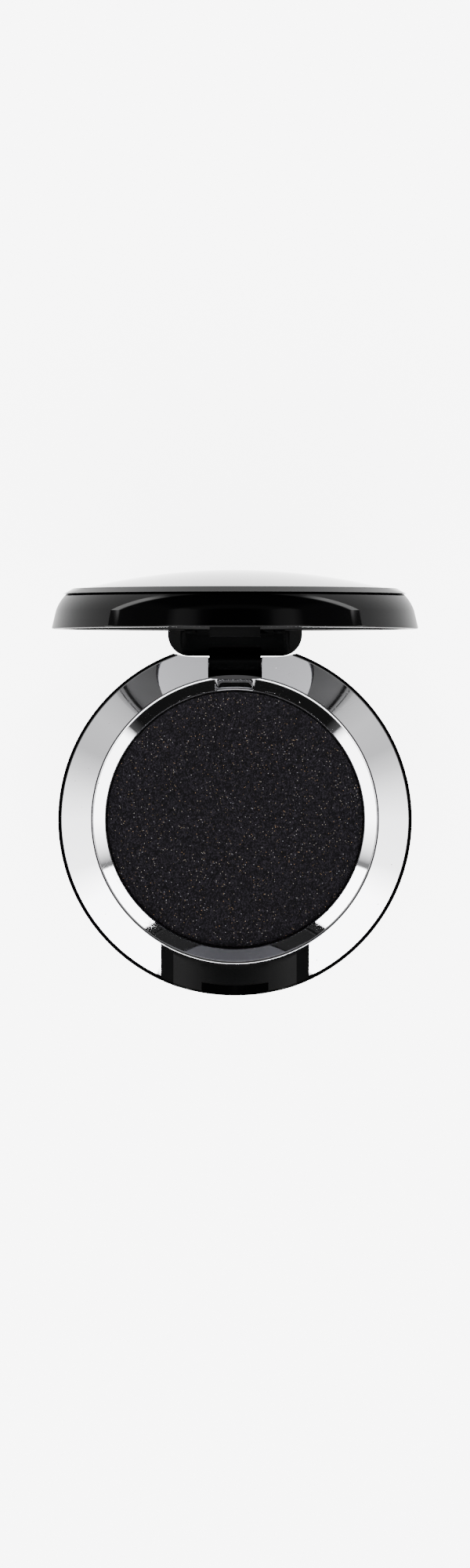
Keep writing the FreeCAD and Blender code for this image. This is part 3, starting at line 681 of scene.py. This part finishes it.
def make_lid_frame():
    seat = PANEL_HIGH.x + 0.1 * MM
    rim_inside = LINER_OUTSIDE - LINER_RIM_WIDTH
    first_step, second_step = LINER_STEPS
    liner = turned("lid_frame_moulded", [
        (HUB, LINER_SEAT),
        (seat, LINER_SEAT),
        (seat, LINER_SLOPE_FOOT),
        (LINER_SLOPE_RADIUS, LINER_SLOPE_TOP),
        (rim_inside, LINER_RIM),
        (LINER_OUTSIDE, LINER_RIM),
        (LINER_OUTSIDE, first_step),
        (LINER_OUTSIDE - STEP, first_step),
        (LINER_OUTSIDE - STEP, second_step),
        (LINER_OUTSIDE - 2 * STEP, second_step),
        (LINER_OUTSIDE - 2 * STEP, LINER_BACK),
        (HUB, LINER_BACK),
    ])
    round_ring(liner, LINER_SLOPE_RADIUS, LINER_SLOPE_TOP, 0.25 * MM, steps=5)
    round_ring(liner, seat, LINER_SLOPE_FOOT, 0.12 * MM, steps=3)
    round_ring(liner, rim_inside, LINER_RIM, 0.12 * MM, steps=3)
    round_ring(liner, LINER_OUTSIDE, LINER_RIM, 0.06 * MM, steps=3)
    combine(liner, make_hinge_tab(), "UNION")
    combine(liner, make_arm_and_barrel(), "UNION")
    combine(liner, make_catch_tongue(), "UNION")
    return tidy(stand_up(soften_cuts(liner, 0.05 * MM)))


def make_arm_and_barrel():
    """The arm that reaches down from the tab to the bored barrel on the hinge pin."""
    pivot = (0, PIVOT_BACK, -PIVOT_DROP)
    across = (0, math.pi / 2, 0)
    barrel = rod("barrel", BARREL_RADIUS, 2 * ARM_HALF, pivot, across)
    arm = box("arm", (-ARM_HALF, 0, -ARM_THICK / 2), (ARM_HALF, ARM_REACH, ARM_THICK / 2))
    arm.rotation_euler = (ARM_RISE, 0, 0)
    arm.location = pivot
    clear()
    arm.select_set(True)
    bpy.context.view_layer.objects.active = arm
    bpy.ops.object.transform_apply(location=True, rotation=True, scale=True)
    combine(barrel, arm, "UNION")
    return combine(barrel, rod("barrel_bore", BORE_RADIUS, 10 * MM, pivot, across))


def make_catch_tongue():
    """The springy tongue at the lid's front and the barb that snaps past the base's ledge."""
    tongue = box("tongue", (-TONGUE_HALF, -17.93 * MM, TONGUE_TIP), (TONGUE_HALF, -17.23 * MM, 1.25 * MM))
    barb = box("barb", (-TONGUE_HALF, -17.9 * MM, TONGUE_TIP), (TONGUE_HALF, -17.08 * MM, -0.65 * MM))
    return combine(tongue, barb, "UNION")


def make_panel():
    face = PANEL_LOW.y - LID_LOW.y
    back = PANEL_HIGH.y - LID_LOW.y
    plate = turned("panel_polished", [
        (HUB, face),
        (PANEL_HIGH.x, face),
        (PANEL_HIGH.x, back),
        (HUB, back),
    ])
    round_ring(plate, PANEL_HIGH.x, face, 0.12 * MM, steps=1)
    return tidy(stand_up(plate))


# Putting together --------------------------------------------------------------------------

marks = handling_marks()
dust = settled_dust()
black_shell = polished("black_gloss_shell", (0.0005, 0.0005, 0.0006), marks, dust, rough=0.03,
                       speck=0.002, shine=0.15)
black_frame = polished("black_gloss_frame", (0.0006, 0.0006, 0.0007), marks, dust, rough=0.35,
                       speck=0.004, shine=0.15)
chrome = polished("bright_plating", (0.86, 0.86, 0.885), marks, dust, metal=1.0, rough=0.015,
                  haze_rough=0.03, speck=0.01)
black_panel = polished("panel_gloss", (0.05, 0.05, 0.055), marks, dust, rough=0.01,
                       haze_rough=0.02, speck=0.005)
powder = pressed_powder_finish()
# The pan's metal gets a base colour far darker than bare aluminium: painted shade, so the pan's rim stays
# dark as a rim mirroring a dark surround does.
aluminium = brushed("pan_aluminium", (0.2, 0.2, 0.21), (2200, 2200, 9000), 0.3)
steel = brushed("pin_steel", (0.6, 0.6, 0.61), (900, 9000, 9000), 0.22)
foam = soft_sheet("adhesive_foam", (0.8, 0.79, 0.74), 2600.0, 0.8)
film = soft_sheet("label_film", (0.42, 0.42, 0.42), 1500.0, 0.45)

MADE = [
    (make_bright_ring, "bright_ring", "base", chrome, "bright_plating"),
    (make_base_shell, "base_shell", "base", black_shell, "black_gloss_shell"),
    (make_metal_pan, "metal_pan", "base", aluminium, "pan_aluminium"),
    (make_powder, "pressed_powder", "base", powder, "pressed_powder"),
    (make_lid_shell, "lid_shell", "lid", black_shell, "black_gloss_shell"),
    (make_lid_frame, "lid_frame", "lid", black_frame, "black_gloss_frame"),
    (make_panel, "panel", "lid", black_panel, "panel_gloss"),
]
for make, cad_node, body, finish, slot in MADE:
    piece = make()
    give(piece, finish)
    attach(piece, body)
    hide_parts(cad_node)

CARRIED = {
    "inner_frame": black_frame,
    "hinge_pin": steel,
    "pan_adhesive": foam,
    "panel_tape": foam,
    "base_label": film,
}
for name, finish in CARRIED.items():
    give(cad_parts[name], finish)


# Studio ------------------------------------------------------------------------------------


FLOOR_GLOW = 6.5
GLOW_MIDDLE = (0, 33 * MM, 0)         # a polished side sees the floor bright only here
GLOW_RADIUS = 17 * MM
SKY_GLOW = 10.0

# Levels of the sky: by height from 0 to 1, then round from the front (0) to the hinge side (1)
SKY_BY_HEIGHT = [
    (0.3, 0.2), (0.62, 0.2), (0.7, 1.0), (0.8, 1.0), (0.86, 0.1), (0.93, 0.016), (1.0, 0.016)]
HIGH_BAND_ROUND = [
    (0.0, 1.0), (0.25, 0.95), (0.35, 0.45), (0.5, 0.4), (0.65, 0.15), (0.71, 0.09), (0.8, 0.1),
    (0.85, 0.08), (0.9, 0.03), (1.0, 0.02)]
HORIZON_ROUND = [
    (0.14, 0.001), (0.17, 0.01), (0.2, 0.8), (0.5, 0.8), (0.66, 0.03), (0.675, 0.03),
    (0.68, 1.0), (0.9, 1.0), (0.95, 0.1), (1.0, 0.05)]

BACKDROP_GLOW = 5.5                   # what the camera itself sees past the floor
VIEW_HEIGHT = 177.0 * MM              # what the view takes in, top to bottom, at the rim
CAMERA_RISE = 1.5
VIEW_MIDDLE = 4.0 * MM                # the view's middle is this far behind the base's
SENSOR = 36.0


def make_floor():
    clear()
    bpy.ops.mesh.primitive_plane_add(size=6, location=(0, 0, 0))
    floor = added("floor")
    finish, tree, shader = new_finish("pale_floor")
    shader.inputs["Base Color"].default_value = (0.86, 0.86, 0.86, 1)
    shader.inputs["Roughness"].default_value = 0.9
    shader.inputs["Specular IOR Level"].default_value = 0.1
    shader.inputs["Emission Color"].default_value = (1, 1, 1, 1)
    place = node(tree, "ShaderNodeTexCoord")
    reach = node(tree, "ShaderNodeVectorMath", {
        0: place.outputs["Object"], 1: GLOW_MIDDLE}, operation="DISTANCE")
    glow = node(tree, "ShaderNodeMapRange", {
        "Value": reach.outputs["Value"], "From Min": GLOW_RADIUS, "From Max": GLOW_RADIUS * 1.3,
        "To Min": FLOOR_GLOW, "To Max": FLOOR_GLOW * 0.1})
    ray = node(tree, "ShaderNodeLightPath")
    strength = node(tree, "ShaderNodeMix", {
        "Factor": ray.outputs["Is Glossy Ray"], "A": FLOOR_GLOW, "B": glow.outputs[0]},
        data_type="FLOAT")
    tree.links.new(strength.outputs["Result"], shader.inputs["Emission Strength"])
    give(floor, finish)


def levels(tree, source, stops):
    """A ramp of grey levels over a number from 0 to 1."""
    made = node(tree, "ShaderNodeValToRGB", {"Fac": source})
    ramp = made.color_ramp
    for element, (position, level) in zip(ramp.elements, (stops[0], stops[-1])):
        element.position = position
        element.color = (level, level, level, 1)
    for position, level in stops[1:-1]:
        ramp.elements.new(position).color = (level, level, level, 1)
    return made.outputs["Color"]


def make_sky():
    """Soft studio surround: a bright band half way up, a bright horizon, dim straight above.

    The bands are weaker towards the hinge. The camera sees an even backdrop in their place.
    """
    world = bpy.data.worlds.new("studio")
    bpy.context.scene.world = world
    world.use_nodes = True
    tree = world.node_tree
    place = node(tree, "ShaderNodeTexCoord")
    parts = node(tree, "ShaderNodeSeparateXYZ", {"Vector": place.outputs["Generated"]})
    level_part = node(tree, "ShaderNodeCombineXYZ", {"X": parts.outputs["X"], "Y": parts.outputs["Y"]})
    heading = node(tree, "ShaderNodeVectorMath", {0: level_part.outputs[0]}, operation="NORMALIZE")
    turn = node(tree, "ShaderNodeSeparateXYZ", {"Vector": heading.outputs[0]})
    bearing = node(tree, "ShaderNodeMapRange", {"Value": turn.outputs["Y"], "From Min": -1.0})
    rise = levels(tree, parts.outputs["Z"], SKY_BY_HEIGHT)
    round_high = levels(tree, bearing.outputs[0], HIGH_BAND_ROUND)
    round_low = levels(tree, bearing.outputs[0], HORIZON_ROUND)
    high = node(tree, "ShaderNodeMath", {0: rise, 1: round_high}, operation="MULTIPLY")
    overhead = node(tree, "ShaderNodeMapRange", {
        "Value": parts.outputs["Z"], "From Min": 0.985, "From Max": 0.995, "To Max": 0.008})
    upper = node(tree, "ShaderNodeMath", {0: high.outputs[0], 1: overhead.outputs[0]},
                 operation="MAXIMUM")
    lift = node(tree, "ShaderNodeMapRange", {
        "Value": parts.outputs["Z"], "From Min": 0.08, "From Max": 0.12})
    both = node(tree, "ShaderNodeMix", {
        "Factor": lift.outputs[0], "A": round_low, "B": upper.outputs[0]}, data_type="FLOAT")
    lit = tree.nodes["Background"]
    tree.links.new(both.outputs["Result"], lit.inputs["Color"])
    lit.inputs["Strength"].default_value = SKY_GLOW
    plain = node(tree, "ShaderNodeBackground", {"Color": (1, 1, 1, 1), "Strength": BACKDROP_GLOW})
    ray = node(tree, "ShaderNodeLightPath")
    seen = node(tree, "ShaderNodeMixShader", {
        0: ray.outputs["Is Camera Ray"], 1: lit.outputs[0], 2: plain.outputs[0]})
    tree.links.new(seen.outputs[0], tree.nodes["World Output"].inputs["Surface"])


def add_camera():
    lens = bpy.data.cameras.new("camera")
    lens.sensor_width = SENSOR
    lens.lens = SENSOR * CAMERA_RISE / VIEW_HEIGHT
    lens.clip_start = 0.05
    lens.clip_end = 20.0
    camera = bpy.data.objects.new("camera", lens)
    bpy.context.scene.collection.objects.link(camera)
    camera.location = (0, VIEW_MIDDLE, BASE_TOP + CAMERA_RISE)
    bpy.context.scene.camera = camera


make_floor()
make_sky()
add_camera()
